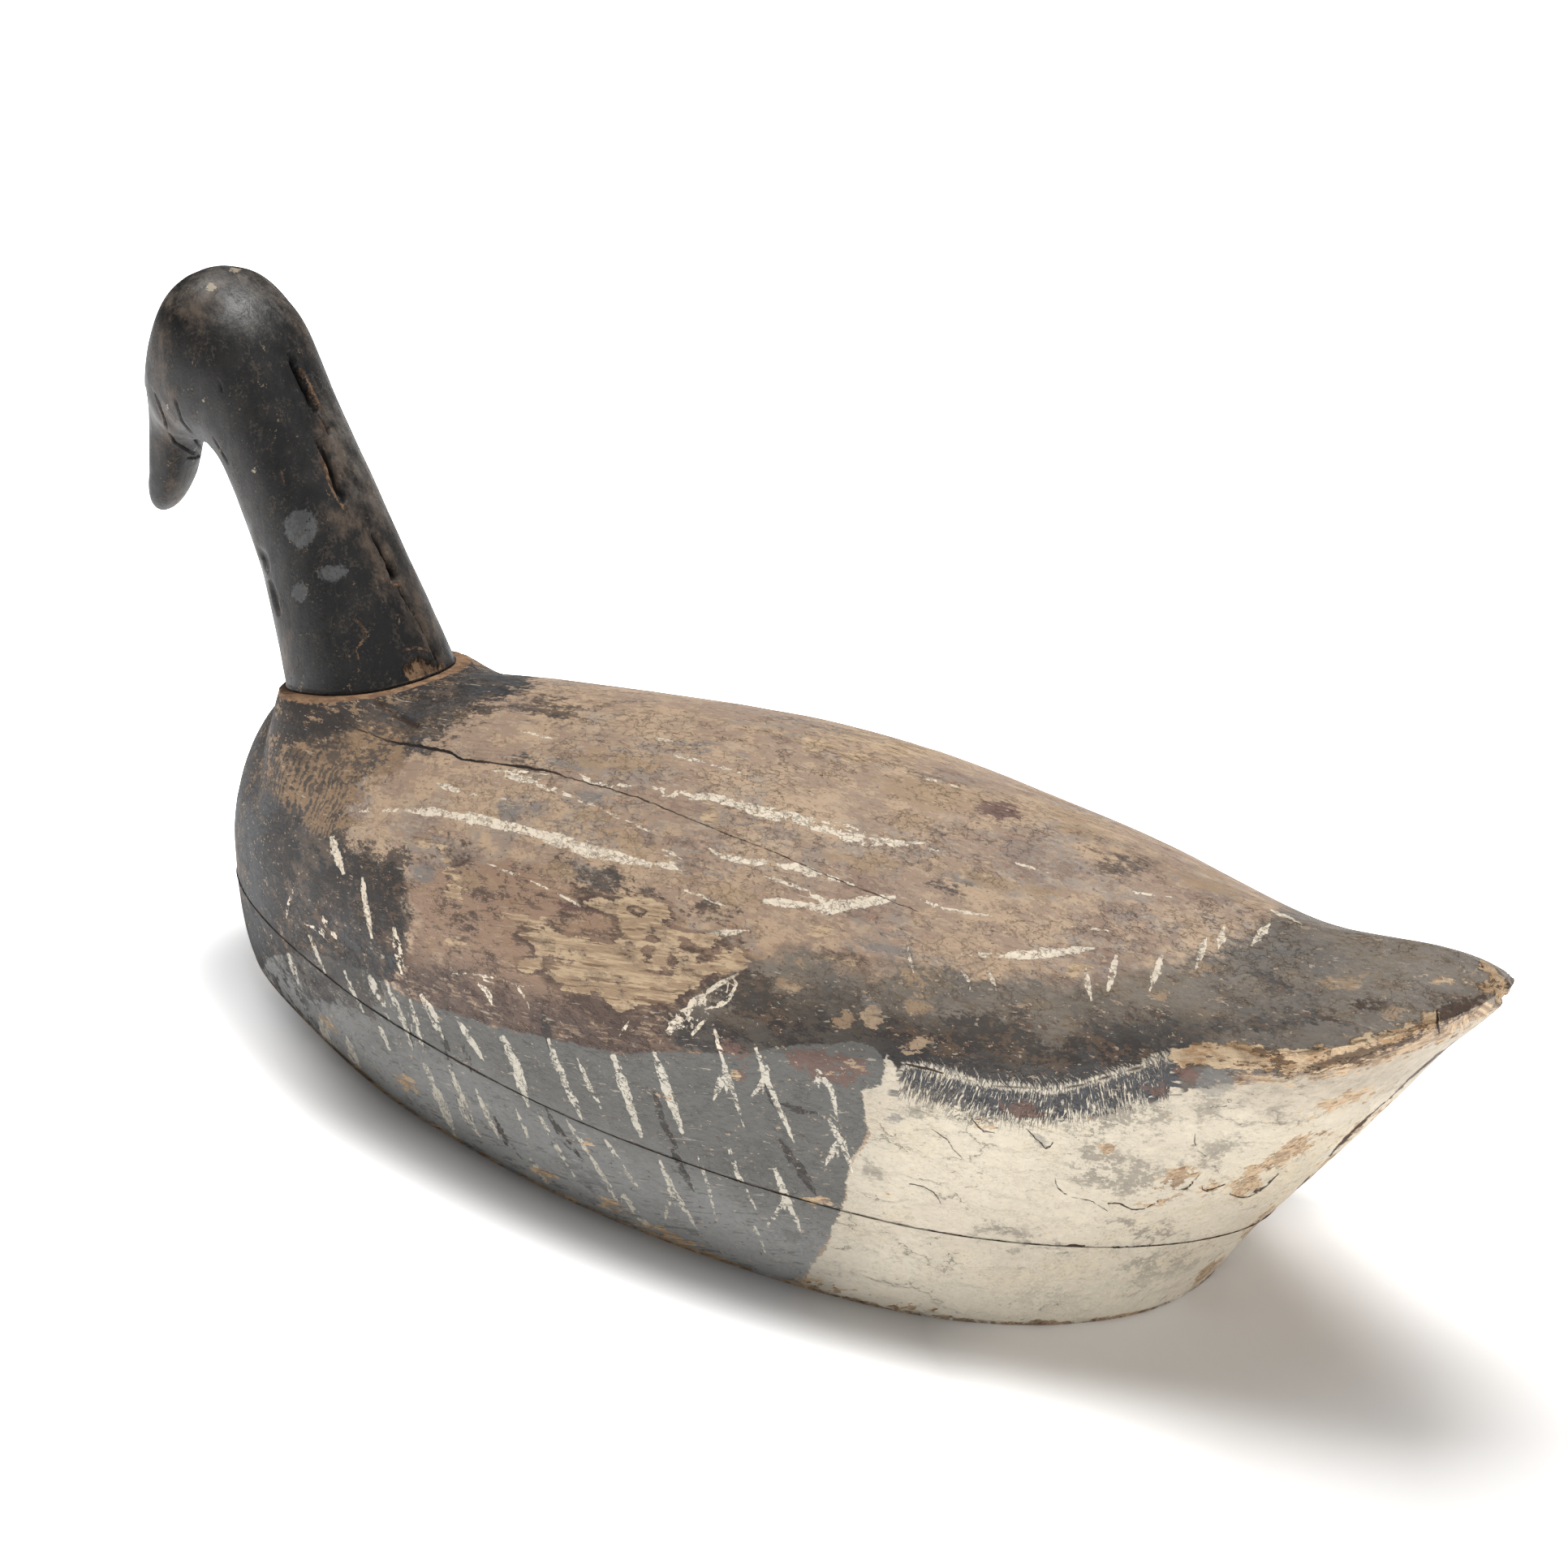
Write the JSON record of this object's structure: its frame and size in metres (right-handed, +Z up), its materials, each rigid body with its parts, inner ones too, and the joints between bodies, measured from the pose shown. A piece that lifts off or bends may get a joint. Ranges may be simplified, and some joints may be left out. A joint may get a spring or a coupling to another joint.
{
  "type": "goose decoy",
  "caption": "Carved and painted wooden goose decoy with a boat-shaped body on a bottom board and a head and neck leaning forward, the bill pointing down.",
  "frame": {"origin": "on the ground under the middle of the whole decoy's box", "axes": "+Z up, +X the way the bird faces, +Y its left side"},
  "size_m": [0.6656, 0.2094, 0.2877],
  "materials": {
    "body_paint": "worn matt oil paint on wood, brown back, dark wing, pale stern",
    "board_paint": "worn matt grey and cream oil paint on wood",
    "head_paint": "satin charcoal paint on wood, rubbed brown in places"
  },
  "bodies": {
    "root": {"body_upper": "body_paint", "body_lower": "board_paint", "head_neck": "head_paint"}
  },
  "joints": []
}
